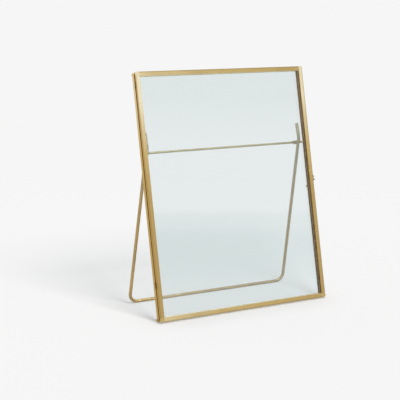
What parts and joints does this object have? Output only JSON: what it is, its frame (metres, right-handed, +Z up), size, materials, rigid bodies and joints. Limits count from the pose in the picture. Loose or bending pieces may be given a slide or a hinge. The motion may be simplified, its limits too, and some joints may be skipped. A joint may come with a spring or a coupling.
{
  "type": "photo frame",
  "caption": "Double-glass brass photo frame: two glazed leaves hinged like a book, closed by a swing hook, on a folding wire stand.",
  "frame": {"origin": "middle of the footprint on the table, between the front edge of the leaning frame and the back of the stand's foot", "axes": "+Z up from the table, +X to the right as the frame is looked at, +Y towards the back; the frame faces -Y and leans back by 12.4 degrees"},
  "size_m": [0.2019, 0.0836, 0.2458],
  "materials": {
    "brass": "satin, lightly aged",
    "wire": "satin, darker with age",
    "pane": "clear, faint green tint"
  },
  "bodies": {
    "back_leaf": {"back_bottom_rail": "brass", "back_right_stile": "brass", "back_top_rail": "brass", "back_left_stile": "brass", "back_pane": "pane", "upper_hinge_pin": "brass", "upper_hinge_back_knuckle": "brass", "lower_hinge_pin": "brass", "lower_hinge_back_knuckle": "brass", "latch_rivet": "brass", "crossbar": "wire"},
    "front_leaf": {"front_bottom_rail": "brass", "front_right_stile": "brass", "front_top_rail": "brass", "front_left_stile": "brass", "front_pane": "pane", "upper_hinge_front_knuckle": "brass", "lower_hinge_front_knuckle": "brass", "latch_stud": "brass"},
    "stand": {"stand_wire": "wire", "left_sleeve": "wire", "right_sleeve": "wire"},
    "hook": {"latch_hook": "brass"}
  },
  "joints": [
    {"name": "leaf_open", "type": "hinge", "parent": "back_leaf", "child": "front_leaf", "pos_m": [-0.09994, 0.01143, 0.23008], "axis": [0, -0.2147, -0.9767], "range_deg": [0, 175]},
    {"name": "stand_fold", "type": "hinge", "parent": "back_leaf", "child": "stand", "pos_m": [0, 0.0098, 0.16373], "axis": [-1, 0, 0], "range_deg": [0, 24.7]},
    {"name": "hook_turn", "type": "hinge", "parent": "back_leaf", "child": "hook", "pos_m": [0.1, -0.00847, 0.12464], "axis": [1, 0, 0], "range_deg": [-60, 30]}
  ]
}
